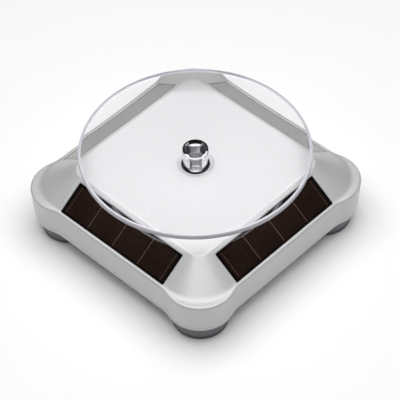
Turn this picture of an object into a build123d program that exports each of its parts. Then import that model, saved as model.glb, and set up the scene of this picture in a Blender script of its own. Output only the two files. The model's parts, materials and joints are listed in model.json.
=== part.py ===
from build123d import *
import os
from math import acos, atan2, cos, degrees, pi, radians, sin, tan

# A solar turntable display stand: a clear disc on a chrome spindle, turned by a geared motor inside a
# silver case with a solar cell in each sloping side.
# Frame: +Z up, the origin on the floor under the spindle's axis, the case's sides along X and Y. Millimetres.

os.makedirs("parts", exist_ok=True)

# ---- driving dimensions -------------------------------------------------------------------------
overall = 102.8                 # across the case's corner lobes
lobe_radius = 14.7              # round lobe over each foot, at its rim
wall_half = 50.0                # the straight side walls, from the axis
lobe_blend = 14.0               # hollow blend between a lobe and a side wall
wall_draft = 0.8                # how far the walls lean in at the bottom
foot_height = 8.7               # the case's underside
cover_edge = 1.4                # the cover's edge that shows under the case
cover_step = 1.2                # the cover's inner step, inside the case's walls
rim_height = 22.7               # the flat rim that the sloping roof stands on
plateau_height = 32.15          # the flat top of the case
roof_half = 49.0                # the roof at its foot
roof_corner = 16.6              # its corner radius there
plateau_half = 35.2             # the roof at the plateau
plateau_corner = 2.8
seam_gap = 0.1                  # between the case's edge and the cover
rim_round = 0.9
plateau_round = 0.7
wall = 1.9                      # side wall of the case
plateau_wall = 1.8
roof_wall = 3.1                 # the roof's wall, measured upright

cell_window_length = 56.4       # one amorphous solar cell behind each window
cell_window_width = 13.9
cell_window_outer = 48.58       # the window's lower edge, from the axis
cell_pocket_depth = 1.5
cell_clearance = 0.15
cell_thickness = 1.1
cell_slot_length = 46.0         # slot under the cell for its leads
cell_slot_width = 5.0

foot_radius = 11.4
pad_radius = 11.2
pad_height = 2.0
pad_round = 0.4

disc_radius = 46.5
disc_top = 41.6
disc_thickness = 2.5
disc_round = 1.2
hub_radius = 5.25
hub_neck_radius = 5.05          # the part of the spindle inside the disc
hub_wall = 0.9
hub_bottom = 30.85
hub_slot_floor = 32.2
hub_slot_width = 5.0
hub_slot_angle = -45.0          # the spindle's slots look along the case's diagonal at rest
hub_post_side = 3.8
hub_rib = 0.6
hub_post_drop = 0.6             # the post and ribs stop under the disc's top
shaft_drop = 4.0                # the shaft's end under the disc's top
spindle_hole_radius = 6.3
dish_radius = 8.2               # the shallow dish round the spindle's hole
dish_depth = 0.5

shaft_radius = 1.5
shaft_lift = 0.1                # the shaft's lower end over the cover
pin_radius = 0.75
running_gap = 0.06              # radial play of every turning fit

gear_module = 0.5
pinion_teeth = 10
wheel_teeth = 40
profile_shift = 0.4             # thick pinion teeth, thin wheel teeth
tooth_play = 0.05               # taken off each flank
pressure_angle = 20.0
wheel_height = 2.4
pinion_height = 3.0
pinion_drop = 0.3               # a pinion starts this far under the wheel that it drives
level_gap = 0.7
level_step = 3.6
fast_low = 25.2                 # the wheel that the motor drives, right under the lid
sleeve_radius = 1.8
sleeve_play = 0.15
output_boss_radius = 3.0
output_boss = (0.4, 0.6)        # under and over the output wheel

base_thickness = 1.5            # gearbox base plate
lid_thickness = 1.6
lid_bottom = 28.0
plate_length = 40.0             # gearbox plates in plan
plate_width = 32.0
plate_centre = (4.0, 8.0)
pillar_radius = 2.5
pillar_inset = 2.5
bush_radius = 2.6
bush_flange = 4.0
bush_flange_height = 0.6
washer_thickness = 0.5
motor_ring_wall = 1.0
motor_ring_height = 2.0
wheel_well_radius = 11.0        # clear of the output wheel, over the base plate

motor_radius = 7.75
motor_top = 24.6
motor_cap_height = 2.0
motor_cap_play = 0.05           # the cap is a little smaller than the can
motor_can_round = 0.8
motor_boss_radius = 2.5
motor_boss_height = 0.5
motor_shaft_radius = 0.75
shaft_start = 3.2               # the rotor's shaft inside the can
terminal_spread = 4.0
terminal_reach = 5.5
terminal_half_width = 1.0
terminal_thickness = 0.7

battery_radius = 7.1            # an AA cell
battery_length = 49.2
battery_nub = 1.3
battery_nub_radius = 2.75
battery_round = 0.6
battery_y = -20.0
battery_clearance = 0.4         # between the cell and the door
bay_half_length = 28.2
bay_half_width = 7.6
bay_wall = 1.2
spring_room = 5.2               # for the spring, at the cell's low end
spring_radius = 3.2
spring_wire = 0.35
spring_turns = 3
contact_thickness = 0.4
contact_half_width = 5.0
contact_reach = (-6.0, 5.0)     # under and over the cell's axis
bay_wall_top = 23.0

door_half_length = 26.8
door_gap = 0.2
door_thickness = 2.0
door_free_edge = -27.5
hinge_y = -12.6
trunnion_radius = 0.6
trunnion_length = 1.2
latch_half_width = 4.0
latch_inset = 0.6
latch_thickness = 0.8
latch_rise = 1.2
finger_notch_radius = 5.0
finger_notch_depth = 0.6
finger_notch_inset = 3.2

board_length = 26.0
board_width = 18.0
board_thickness = 1.2
board_centre = (-34.0, 7.0)
board_bottom = 16.0
board_corner = 1.5
board_post_radius = 2.2
board_post_inset = 3.0
capacitor_radius = 4.0
capacitor_height = 8.0
capacitor_round = 0.4
capacitor_shift = (1.5, -4.0)   # from the board's middle

case_screw_radius = 1.3
case_screw_head = 2.8
case_screw_head_height = 1.8
case_screw_play = 0.3
case_post_radius = 3.2
case_post_drop = 4.0            # the post's end under the plateau
case_post_recess = 4.0          # clears the post where the cover meets it
case_screw_depth = 9.0          # the screw's tip under the plateau
foot_counterbore = 3.0          # over the pad
small_screw_radius = 0.9
small_screw_head = 1.9
small_screw_head_height = 0.7
small_screw_play = 0.1
lid_screw_length = 6.0
base_screw_reach = 5.0          # over the cover
recess_depth = 0.4              # the cross recess in each screw
recess_half_width = 0.25

# ---- values worked out from them ----------------------------------------------------------------
lobe_centre = overall / 2 - lobe_radius
corners = [(x * lobe_centre, y * lobe_centre) for x in (-1, 1) for y in (-1, 1)]
roof_slope = (plateau_height - rim_height) / (roof_half - plateau_half)
roof_angle = degrees(atan2(roof_slope, 1))
lip_height = foot_height + cover_edge
cover_top = lip_height + cover_step
base_top = cover_top + base_thickness
lid_top = lid_bottom + lid_thickness
hinge_z = foot_height + door_thickness / 2
battery_z = foot_height + door_thickness + battery_clearance + battery_radius


def draft_inset(height):
    """How far the side walls stand inside their rim, at a height."""
    return wall_draft * (rim_height - height) / (rim_height - foot_height)


def case_plan(inset):
    """The case's plan: a rounded square with a round lobe over each foot, blended at its sides."""
    half = wall_half - inset
    plan = RectangleRounded(2 * half, 2 * half, half - lobe_centre)
    for x, y in corners:
        plan += Pos(x, y) * Circle(lobe_radius - inset)
    meets = [v for v in plan.vertices() if abs(max(abs(v.X), abs(v.Y)) - half) < 0.01]
    return fillet(meets, lobe_blend)


def case_block(inset, low, high):
    """The case's drafted block between two heights."""
    bottom = Pos(0, 0, low) * case_plan(draft_inset(low) + inset)
    top = Pos(0, 0, high) * case_plan(draft_inset(high) + inset)
    return loft([bottom, top], ruled=True)


def roof_block(drop, low, high):
    """The sloping roof lowered by drop, between two heights."""
    def ring(height):
        reach = (rim_height - drop - height) / roof_slope
        side = 2 * (roof_half + reach)
        return Pos(0, 0, height) * RectangleRounded(side, side, roof_corner + reach)
    return loft([ring(low), ring(high)], ruled=True)


def tube(outer, inner, low, high, x=0.0, y=0.0):
    """A round tube, or a rod where inner is 0, standing on a height."""
    shape = Circle(outer) - Circle(inner) if inner else Circle(outer)
    return Pos(x, y, low) * extrude(shape, high - low)


def block(x_range, y_range, z_range):
    """A block from its three ranges."""
    size = [high - low for low, high in (x_range, y_range, z_range)]
    middle = [(high + low) / 2 for low, high in (x_range, y_range, z_range)]
    return Pos(*middle) * Box(*size)


def side_plane(turn, depth):
    """A plane on the roof's slope, in the middle of the window of one side, sunk by depth."""
    half_run = cell_window_width * cos(radians(roof_angle)) / 2
    x = cell_window_outer - half_run
    z = rim_height + (roof_half - x) * roof_slope
    normal = (sin(radians(roof_angle)), 0, cos(radians(roof_angle)))
    place = Plane(origin=(x - normal[0] * depth, 0, z - normal[2] * depth), x_dir=(0, 1, 0), z_dir=normal)
    return Rot(0, 0, turn) * place.location


sides = {"right": 0, "back": 90, "left": 180, "front": 270}
parts = {}


# ---- case ---------------------------------------------------------------------------------------
def make_top_shell():
    """The silver case: drafted walls, a flat rim over the lobes, a sloping roof and a flat plateau."""
    body = case_block(0, lip_height + seam_gap, rim_height)
    body = fillet(body.faces().sort_by(Axis.Z)[-1].edges(), rim_round)
    roof = roof_block(0, rim_height - 0.5, plateau_height)
    roof &= Pos(0, 0, rim_height + 10) * Box(2 * roof_half, 2 * roof_half, 20)
    roof = fillet(roof.faces().sort_by(Axis.Z)[-1].edges(), plateau_round)
    body += roof
    hollow = case_block(wall, lip_height, rim_height)
    hollow = hollow & roof_block(roof_wall, lip_height, rim_height)
    hollow += roof_block(roof_wall, rim_height - roof_wall, plateau_height - plateau_wall) & Pos(
        0, 0, rim_height - roof_wall + 20) * Box(2 * (wall_half - 4), 2 * (wall_half - 4), 40)
    for x, y in corners:
        hollow -= tube(case_post_radius, 0, foot_height, plateau_height - case_post_drop, x, y)
    body -= hollow
    for x, y in corners:
        body -= tube(case_post_recess, 0, foot_height, cover_top, x, y)
        body -= tube(case_screw_radius, 0, foot_height, plateau_height - case_screw_depth + 2, x, y)
    for turn in sides.values():
        pocket = Box(cell_window_length, cell_window_width, 2 * cell_pocket_depth)
        slot = Box(cell_slot_length, cell_slot_width, 12)
        body -= side_plane(turn, 0) * pocket
        body -= side_plane(turn, 0) * slot
    body -= tube(spindle_hole_radius, 0, plateau_height - 5, plateau_height + 5)
    dish = Cone(spindle_hole_radius, 2 * dish_radius - spindle_hole_radius, 2 * dish_depth)
    return body - Pos(0, 0, plateau_height) * dish


def make_bottom_cover():
    """The flat cover under the case, with the battery bay's walls and the posts of the circuit board."""
    cover = extrude(Pos(0, 0, foot_height) * case_plan(wall_draft), lip_height - foot_height)
    fit_inset = draft_inset(lip_height) + wall + seam_gap
    cover += extrude(Pos(0, 0, lip_height) * case_plan(fit_inset), cover_top - lip_height)
    bay_low = battery_y - bay_half_width
    bay_high = battery_y + bay_half_width
    end = bay_half_length + bay_wall
    bay = block((-end, end), (bay_low - bay_wall, bay_high + bay_wall), (cover_top, bay_wall_top))
    cover += bay - block((-bay_half_length, bay_half_length), (bay_low, bay_high), (0, 40))
    opening = (door_half_length + door_gap)
    hinge_edge = hinge_y + door_thickness / 2 + door_gap
    cover -= block((-opening, opening), (door_free_edge - door_gap, hinge_edge), (0, cover_top))
    for side in (-1, 1):
        trunnion = Pos(side * opening, hinge_y, hinge_z) * Rot(0, 90, 0)
        cover -= trunnion * Cylinder(trunnion_radius + running_gap, 2 * (trunnion_length + 0.2))
    for x, y in board_posts:
        cover += tube(board_post_radius, 0, lip_height, board_bottom, x, y)
        cover -= tube(small_screw_radius, 0, cover_top + 0.2, board_bottom, x, y)
    for x, y in corners:
        cover -= tube(case_screw_radius + case_screw_play, 0, 0, 40, x, y)
    for x, y in base_screw_places:
        cover -= tube(small_screw_radius + small_screw_play, 0, 0, 40, x, y)
        cover -= tube(small_screw_head + small_screw_play, 0, 0, base_screw_seat, x, y)
    return cover


def make_solar_cell(turn):
    """One amorphous solar cell, a thin glass plate sunk in its window."""
    length = cell_window_length - 2 * cell_clearance
    width = cell_window_width - 2 * cell_clearance
    middle = cell_pocket_depth - cell_thickness / 2
    return side_plane(turn, middle) * Box(length, width, cell_thickness)


def make_foot(x, y):
    """One round foot with a counterbore for the case screw."""
    foot = tube(foot_radius, 0, pad_height, foot_height, x, y)
    foot -= tube(case_screw_radius + case_screw_play, 0, 0, foot_height, x, y)
    return foot - tube(case_screw_head + case_screw_play, 0, 0, pad_height + foot_counterbore, x, y)


def make_foot_pad(x, y):
    """The rubber pad under one foot, its lower edge rounded."""
    pad = tube(pad_radius, 0, 0, pad_height, x, y)
    return fillet(pad.faces().sort_by(Axis.Z)[0].edges(), pad_round)


# ---- turntable ----------------------------------------------------------------------------------
def make_disc():
    """The clear disc, its edge fully rounded."""
    disc = tube(disc_radius, 0, disc_top - disc_thickness, disc_top)
    disc = fillet(disc.edges(), disc_round)
    return disc - tube(hub_neck_radius, 0, disc_top - 5, disc_top + 5)


def make_hub():
    """The chrome spindle: a slotted cup with a square post and four ribs inside."""
    shoulder = disc_top - disc_thickness
    hub = tube(hub_radius, 0, hub_bottom, shoulder) + tube(hub_neck_radius, 0, shoulder, disc_top)
    hub -= tube(hub_neck_radius - hub_wall, 0, hub_slot_floor, disc_top + 1)
    hub -= block((-10, 10), (-hub_slot_width / 2, hub_slot_width / 2), (hub_slot_floor, disc_top + 1))
    reach = hub_neck_radius - hub_wall / 2
    post_top = disc_top - hub_post_drop
    hub += block((-hub_post_side / 2, hub_post_side / 2), (-hub_post_side / 2, hub_post_side / 2),
                 (hub_slot_floor, post_top))
    for turn in (45, 135):
        rib = block((-reach, reach), (-hub_rib / 2, hub_rib / 2), (hub_slot_floor, post_top))
        hub += Rot(0, 0, turn) * rib
    hub -= tube(shaft_radius, 0, 0, disc_top - shaft_drop)
    return Rot(0, 0, hub_slot_angle) * hub


# ---- gears --------------------------------------------------------------------------------------
def gear_outline(teeth, shift):
    """An involute gear's plan, with a tooth's middle on +X."""
    pitch_radius = gear_module * teeth / 2
    base_radius = pitch_radius * cos(radians(pressure_angle))
    tip_radius = pitch_radius + gear_module * (1 + shift)
    root_radius = pitch_radius - gear_module * (1.25 - shift)
    thickness = gear_module * (pi / 2 + 2 * shift * tan(radians(pressure_angle))) - 2 * tooth_play

    def involute(angle):
        return tan(angle) - angle

    def half_angle(radius):
        """Half the tooth's angle at a radius; below the base circle the flank is radial."""
        turned = acos(min(1.0, base_radius / radius))
        at_pitch = thickness / (2 * pitch_radius) + involute(radians(pressure_angle))
        return at_pitch - involute(turned)

    low = max(root_radius, base_radius)
    radii = [root_radius, low, (low + pitch_radius) / 2, pitch_radius, (pitch_radius + tip_radius) / 2, tip_radius]
    radii = sorted(set(radii))
    points = []
    for tooth in range(teeth):
        middle = 2 * pi * tooth / teeth
        flank = [(radius, half_angle(max(radius, base_radius))) for radius in radii]
        for radius, half in flank:
            points.append((radius * cos(middle - half), radius * sin(middle - half)))
        for radius, half in reversed(flank):
            points.append((radius * cos(middle + half), radius * sin(middle + half)))
    return make_face(Polyline(*points, close=True))


def gear(teeth, low, high, place, phase):
    """A gear between two heights, centred on place, a tooth's middle at the phase in degrees."""
    shift = profile_shift if teeth == pinion_teeth else -profile_shift
    body = extrude(gear_outline(teeth, shift), high - low)
    return Pos(place[0], place[1], low) * Rot(0, 0, phase) * body


def meshing_phase(first, first_teeth, first_phase, second, second_teeth):
    """The phase that puts the second gear's gap on the first gear's tooth."""
    line = degrees(atan2(second[1] - first[1], second[0] - first[0]))
    first_pitch = 360 / first_teeth
    second_pitch = 360 / second_teeth
    first_part = (line - first_phase) / first_pitch
    return line + 180 - second_pitch * (0.5 - first_part)


centre_distance = gear_module * (pinion_teeth + wheel_teeth) / 2


def step_from(place, angle):
    """The next gear's place, one centre distance away at an angle."""
    return (place[0] + centre_distance * cos(radians(angle)), place[1] + centre_distance * sin(radians(angle)))


output_place = (0.0, 0.0)
slow_place = step_from(output_place, 135)
fast_place = step_from(slow_place, 35)
motor_place = step_from(fast_place, -10)

output_low = base_top + level_gap       # three levels of gears, from the base plate up
slow_low = output_low + level_step

output_phase = 0.0
slow_phase = meshing_phase(output_place, wheel_teeth, output_phase, slow_place, pinion_teeth)
fast_phase = meshing_phase(slow_place, wheel_teeth, slow_phase, fast_place, pinion_teeth)
motor_phase = meshing_phase(fast_place, wheel_teeth, fast_phase, motor_place, pinion_teeth)


def compound_gear(place, phase, wheel_low, pinion_low):
    """A wheel and a pinion moulded on one sleeve that runs on a pin."""
    body = gear(wheel_teeth, wheel_low, wheel_low + wheel_height, place, phase)
    body += gear(pinion_teeth, pinion_low, pinion_low + pinion_height, place, phase)
    body += tube(sleeve_radius, 0, base_top + sleeve_play, lid_bottom - sleeve_play, *place)
    return body - tube(pin_radius + running_gap, 0, 0, disc_top, *place)


def make_output_gear():
    """The wheel on the spindle's shaft."""
    body = gear(wheel_teeth, output_low, output_low + wheel_height, output_place, output_phase)
    low = output_low - output_boss[0]
    body += tube(output_boss_radius, 0, low, output_low + wheel_height + output_boss[1])
    return body - tube(shaft_radius, 0, 0, disc_top)


# ---- gearbox plates -----------------------------------------------------------------------------
pillar_x = plate_length / 2 - pillar_inset
pillar_y = plate_width / 2 - pillar_inset
pillars = [(plate_centre[0] + x * pillar_x, plate_centre[1] + y * pillar_y) for x in (-1, 1) for y in (-1, 1)]
base_screw_places = [pillars[0], pillars[3]]
board_posts = [(board_centre[0] + x * (board_width / 2 - board_post_inset),
                board_centre[1] + x * (board_length / 2 - board_post_inset)) for x in (-1, 1)]
base_screw_seat = foot_height + small_screw_head_height + 0.2


def plate(low, thickness):
    """A gearbox plate in plan, between two heights."""
    shape = Pos(*plate_centre) * RectangleRounded(plate_length, plate_width, pillar_inset)
    return Pos(0, 0, low) * extrude(shape, thickness)


def make_gearbox_base():
    """The lower plate with its four pillars and a ring that holds the motor."""
    body = plate(cover_top, base_thickness)
    for x, y in pillars:
        body += tube(pillar_radius, 0, cover_top, lid_bottom, x, y)
    ring_top = base_top + motor_ring_height
    body += tube(motor_radius + motor_ring_wall, motor_radius, base_top - 0.1, ring_top, *motor_place)
    body -= tube(wheel_well_radius, 0, base_top, base_top + 2 * motor_ring_height)
    for x, y in pillars:
        body -= tube(small_screw_radius, 0, lid_bottom - lid_screw_length - 1, lid_bottom, x, y)
    for x, y in base_screw_places:
        body -= tube(small_screw_radius, 0, cover_top, cover_top + base_screw_reach + 1, x, y)
    for place in (slow_place, fast_place):
        body -= tube(pin_radius, 0, cover_top, base_top, *place)
    return body - tube(shaft_radius + running_gap, 0, cover_top, base_top)


def make_gearbox_lid():
    """The upper plate, bored for the bush, the pins, the motor's pinion and the screws."""
    body = plate(lid_bottom, lid_thickness)
    body -= tube(bush_radius, 0, lid_bottom, lid_top)
    for place in (slow_place, fast_place):
        body -= tube(pin_radius, 0, lid_bottom, lid_top, *place)
    for x, y in pillars:
        body -= tube(small_screw_radius + small_screw_play, 0, lid_bottom, lid_top, x, y)
        body -= tube(small_screw_head + small_screw_play, 0, lid_top - small_screw_head_height, lid_top, x, y)
    return body


def make_bush():
    """The flanged brass bush that guides the spindle in the lid."""
    body = tube(bush_radius, 0, lid_bottom, lid_top)
    body += tube(bush_flange, 0, lid_top, lid_top + bush_flange_height)
    return body - tube(shaft_radius + running_gap, 0, lid_bottom, plateau_height)


def make_washer():
    """The nylon washer that the spindle turns on."""
    low = lid_top + bush_flange_height
    return tube(bush_flange, shaft_radius + running_gap, low, low + washer_thickness)


# ---- motor --------------------------------------------------------------------------------------
def make_motor_can():
    """The motor's drawn steel can with its raised bearing boss."""
    can_low = base_top + motor_cap_height
    can_high = motor_top - 0.3 - motor_boss_height
    body = tube(motor_radius, 0, can_low, can_high, *motor_place)
    body = fillet(body.faces().sort_by(Axis.Z)[-1].edges(), motor_can_round)
    body += tube(motor_boss_radius, 0, can_low, motor_top - 0.3, *motor_place)
    return body - tube(motor_shaft_radius + running_gap, 0, can_low + shaft_start - 0.2, lid_top, *motor_place)


def make_motor_cap():
    """The motor's plastic end cap with its two terminals' slots."""
    body = tube(motor_radius - motor_cap_play, 0, base_top, base_top + motor_cap_height, *motor_place)
    low = motor_place[1] + terminal_reach
    for side in (-1, 1):
        x = motor_place[0] + side * terminal_spread
        x_range = (x - terminal_half_width, x + terminal_half_width)
        body -= block(x_range, (low, low + terminal_thickness), (0, lid_top))
    return body


def make_motor_shaft():
    """The rotor's shaft, standing out of the can."""
    low = base_top + motor_cap_height + shaft_start
    return tube(motor_shaft_radius, 0, low, fast_low + wheel_height + 0.2, *motor_place)


def make_motor_pinion():
    """The brass pinion pressed on the motor's shaft."""
    body = gear(pinion_teeth, motor_top + 0.2, fast_low + wheel_height + 0.2, motor_place, motor_phase)
    return body - tube(motor_shaft_radius, 0, 0, lid_top, *motor_place)


# ---- battery ------------------------------------------------------------------------------------
def along_x(shape_radius, low, high):
    """A rod along X on the battery's axis."""
    middle = (low + high) / 2
    return Pos(middle, battery_y, battery_z) * Rot(0, 90, 0) * Cylinder(shape_radius, high - low)


cell_low = -bay_half_length + spring_room
cell_high = cell_low + battery_length


def make_battery():
    """The AA cell with its raised positive end."""
    body = fillet(along_x(battery_radius, cell_low, cell_high).edges(), battery_round)
    return body + along_x(battery_nub_radius, cell_low + 1, cell_high + battery_nub)


def contact_tab(low):
    """A plated tab against one end of the bay."""
    y_range = (battery_y - contact_half_width, battery_y + contact_half_width)
    z_range = (battery_z + contact_reach[0], battery_z + contact_reach[1])
    return block((low, low + contact_thickness), y_range, z_range)


def make_contact_plate():
    """The plated tab against the cell's positive end."""
    return contact_tab(bay_half_length - contact_thickness)


def make_contact_spring():
    """The coil and its tab against the cell's negative end."""
    low = -bay_half_length
    clearance = 0.02
    height = spring_room - contact_thickness - 2 * spring_wire - 2 * clearance
    path = Helix(pitch=height / spring_turns, height=height, radius=spring_radius)
    profile = Plane(origin=path @ 0, z_dir=path % 0) * Circle(spring_wire)
    start = low + contact_thickness + spring_wire + clearance
    coil = Pos(start, battery_y, battery_z) * Rot(0, 90, 0) * sweep(profile, path)
    return Compound(children=[contact_tab(low), coil])


def make_battery_door():
    """The hinged door under the cell, with trunnions at its hinge edge and a latch at the other."""
    body = block((-door_half_length, door_half_length), (door_free_edge, hinge_y),
                 (foot_height, foot_height + door_thickness))
    edge = Pos(0, hinge_y, hinge_z) * Rot(0, 90, 0)
    body += edge * Cylinder(door_thickness / 2, 2 * door_half_length)
    body += edge * Cylinder(trunnion_radius, 2 * (door_half_length + trunnion_length))
    latch_y = door_free_edge + latch_inset
    latch_top = foot_height + door_thickness + latch_rise
    latch_span = (-latch_half_width, latch_half_width)
    body += block(latch_span, (latch_y, latch_y + latch_thickness), (foot_height + 1, latch_top))
    notch_y = door_free_edge + finger_notch_inset
    return body - tube(finger_notch_radius, 0, 0, foot_height + finger_notch_depth, 0, notch_y)


# ---- circuit board ------------------------------------------------------------------------------
def make_board():
    """The small board that joins the cells, the battery and the motor."""
    shape = Pos(*board_centre) * RectangleRounded(board_width, board_length, board_corner)
    body = Pos(0, 0, board_bottom) * extrude(shape, board_thickness)
    for x, y in board_posts:
        body -= tube(small_screw_radius + small_screw_play, 0, 0, lid_top, x, y)
    return body


def make_capacitor():
    """The storage capacitor that stands on the board."""
    low = board_bottom + board_thickness
    x, y = board_centre[0] + capacitor_shift[0], board_centre[1] + capacitor_shift[1]
    body = tube(capacitor_radius, 0, low, low + capacitor_height, x, y)
    return fillet(body.edges(), capacitor_round)


def screw(head_radius, shank_radius, head_low, head_high, tip, x, y):
    """A pan-head screw with its head between two heights and a cross recess away from its tip."""
    body = tube(head_radius, 0, head_low, head_high, x, y)
    body += tube(shank_radius, 0, min(tip, head_low), max(tip, head_high), x, y)
    outside = head_low if tip > head_high else head_high
    bar = head_radius * 0.6
    z_range = (outside - recess_depth, outside + recess_depth)
    for across, along in ((bar, recess_half_width), (recess_half_width, bar)):
        body -= block((x - across, x + across), (y - along, y + along), z_range)
    return body


# ---- assembly -----------------------------------------------------------------------------------
parts["top_shell"] = make_top_shell()
parts["bottom_cover"] = make_bottom_cover()
for name, turn in sides.items():
    parts["solar_cell_" + name] = make_solar_cell(turn)
for (x, y) in corners:
    name = ("front" if y < 0 else "back") + "_" + ("left" if x < 0 else "right")
    parts["foot_" + name] = make_foot(x, y)
    parts["foot_pad_" + name] = make_foot_pad(x, y)

parts["turntable_disc"] = make_disc()
parts["spindle_hub"] = make_hub()
parts["output_shaft"] = tube(shaft_radius, 0, cover_top + shaft_lift, disc_top - shaft_drop)
parts["output_gear"] = make_output_gear()
parts["slow_gear"] = compound_gear(slow_place, slow_phase, slow_low, output_low - pinion_drop)
parts["fast_gear"] = compound_gear(fast_place, fast_phase, fast_low, slow_low - pinion_drop)
parts["slow_gear_pin"] = tube(pin_radius, 0, cover_top, lid_top, *slow_place)
parts["fast_gear_pin"] = tube(pin_radius, 0, cover_top, lid_top, *fast_place)
parts["gearbox_base"] = make_gearbox_base()
parts["gearbox_lid"] = make_gearbox_lid()
parts["spindle_bush"] = make_bush()
parts["thrust_washer"] = make_washer()
parts["motor_can"] = make_motor_can()
parts["motor_end_cap"] = make_motor_cap()
parts["motor_shaft"] = make_motor_shaft()
parts["motor_pinion"] = make_motor_pinion()

parts["aa_cell"] = make_battery()
parts["contact_plate"] = make_contact_plate()
parts["contact_spring"] = make_contact_spring()
parts["battery_door"] = make_battery_door()
parts["circuit_board"] = make_board()
parts["storage_capacitor"] = make_capacitor()

foot_seat = pad_height + foot_counterbore
case_screws = [screw(case_screw_head, case_screw_radius, foot_seat - case_screw_head_height, foot_seat,
                     plateau_height - case_screw_depth, x, y) for x, y in corners]
parts["case_screws"] = Compound(children=case_screws)
small = (small_screw_head, small_screw_radius)
lid_screws = [screw(*small, lid_top - small_screw_head_height, lid_top, lid_bottom - lid_screw_length, x, y)
              for x, y in pillars]
base_screws = [screw(*small, base_screw_seat - small_screw_head_height, base_screw_seat,
                     cover_top + base_screw_reach, x, y) for x, y in base_screw_places]
parts["gearbox_screws"] = Compound(children=lid_screws + base_screws)
board_high = board_bottom + board_thickness
parts["board_screws"] = Compound(children=[screw(*small, board_high, board_high + small_screw_head_height,
                                                 cover_top + 0.6, x, y) for x, y in board_posts])

for name, shape in parts.items():
    export_step(shape, "parts/" + name + ".step")
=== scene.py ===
# %% [markdown]
# # A solar turntable display stand
# The real object is a square silver case about 100 mm wide. Four strip solar cells lie in its sloping
# sides, a clear acrylic disc turns on a chrome spindle above its flat top, and it stands on round feet.
# The CAD frame holds every size and every moving part, so this lesson only makes what the eye sees:
# soft edges, paint, acrylic, chrome and glass, each ridden on the body that it belongs to.

# %% Load the frame
import json
import math

import bmesh
import bpy
from mathutils import Matrix, Vector


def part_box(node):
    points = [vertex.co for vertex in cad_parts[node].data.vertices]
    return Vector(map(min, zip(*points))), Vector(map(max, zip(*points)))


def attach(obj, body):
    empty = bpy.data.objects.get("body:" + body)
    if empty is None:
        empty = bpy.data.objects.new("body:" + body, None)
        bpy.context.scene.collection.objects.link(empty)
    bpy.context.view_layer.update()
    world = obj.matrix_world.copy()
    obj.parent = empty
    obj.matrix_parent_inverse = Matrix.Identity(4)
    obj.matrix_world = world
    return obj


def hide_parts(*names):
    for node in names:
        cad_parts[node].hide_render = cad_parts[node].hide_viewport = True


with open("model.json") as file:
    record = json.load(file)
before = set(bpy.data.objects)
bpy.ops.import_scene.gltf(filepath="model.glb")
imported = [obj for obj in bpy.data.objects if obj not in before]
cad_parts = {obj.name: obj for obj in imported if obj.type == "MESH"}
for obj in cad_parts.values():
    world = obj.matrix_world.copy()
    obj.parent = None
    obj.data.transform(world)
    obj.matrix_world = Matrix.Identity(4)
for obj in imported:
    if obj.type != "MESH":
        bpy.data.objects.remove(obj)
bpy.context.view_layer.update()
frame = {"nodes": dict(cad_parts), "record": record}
nodes = frame["nodes"]
MM = 0.001

# %% [markdown]
# ## The camera
# A camera is a place, a direction and a lens. A long lens from three quarters of a metre flattens the
# square into a diamond, as in a shop's product picture. The camera is placed on a sphere round a target,
# and then rolled a little about its own view line.

# %% Camera
AZIMUTH = math.radians(44.06)
ELEVATION = math.radians(47.25)
ROLL = math.radians(-1.01)
DISTANCE = 774.0 * MM
TARGET = Vector((8.29, -6.42, 22.87)) * MM

camera_data = bpy.data.cameras.new("camera")
camera_data.lens = 174.75
camera_data.sensor_width = 36.0
camera_data.clip_start = 0.05
camera_data.clip_end = 20.0
camera = bpy.data.objects.new("camera", camera_data)
bpy.context.scene.collection.objects.link(camera)
back = Vector((math.sin(AZIMUTH) * math.cos(ELEVATION),
               -math.cos(AZIMUTH) * math.cos(ELEVATION),
               math.sin(ELEVATION)))
level = Vector((math.cos(AZIMUTH), math.sin(AZIMUTH), 0.0))
upright = back.cross(level)
right = level * math.cos(ROLL) + upright * math.sin(ROLL)
upward = upright * math.cos(ROLL) - level * math.sin(ROLL)
turn = Matrix((right, upward, back)).transposed().to_4x4()
camera.matrix_world = Matrix.Translation(TARGET + back * DISTANCE) @ turn
bpy.context.scene.camera = camera
print("camera at mm:", [round(v / MM, 1) for v in camera.location])


# %% [markdown]
# ## Small tools
# Colours are written as the familiar hex codes and turned to the linear values that a renderer needs.
# One function adds a shader or geometry node with its settings and its links, so each material below
# reads as a short list of what it is made of.

# %% Colour and node tools
def srgb(code, alpha=1.0):
    """An sRGB hex code as the linear colour that a shader socket takes."""
    channels = [int(code[place:place + 2], 16) / 255 for place in (0, 2, 4)]
    linear = [c / 12.92 if c <= 0.04045 else ((c + 0.055) / 1.055) ** 2.4 for c in channels]
    return (*linear, alpha)


def add_node(tree, kind, values=None, links=None, **settings):
    """A new node with its settings, its sockets' values, and links from (node, output) pairs."""
    node = tree.nodes.new(kind)
    for name, value in settings.items():
        setattr(node, name, value)
    for socket, value in (values or {}).items():
        node.inputs[socket].default_value = value
    for socket, (source, output) in (links or {}).items():
        tree.links.new(source.outputs[output], node.inputs[socket])
    return node


def new_material(name, **sockets):
    """A material with one Principled shader whose sockets are set straight to values."""
    material = bpy.data.materials.new(name)
    material.use_nodes = True
    shader = material.node_tree.nodes["Principled BSDF"]
    for socket, value in sockets.items():
        shader.inputs[socket.replace("_", " ")].default_value = value
    return material, material.node_tree, shader


def noise_on(tree, place, scale, detail=2.0):
    """A noise on Object coordinates, its scale in waves to the metre."""
    return add_node(tree, "ShaderNodeTexNoise", {"Scale": scale, "Detail": detail},
                    {"Vector": (place, "Object")})


def grain(tree, shader, size_mm, depth_mm, strength):
    """A fine moulded or sprayed grain: noise of a real size in the bump."""
    place = add_node(tree, "ShaderNodeTexCoord")
    noise = noise_on(tree, place, 1 / (size_mm * MM))
    bump = add_node(tree, "ShaderNodeBump", {"Strength": strength, "Distance": depth_mm * MM},
                    {"Height": (noise, "Fac")})
    tree.links.new(bump.outputs["Normal"], shader.inputs["Normal"])
    return place, noise


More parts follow.
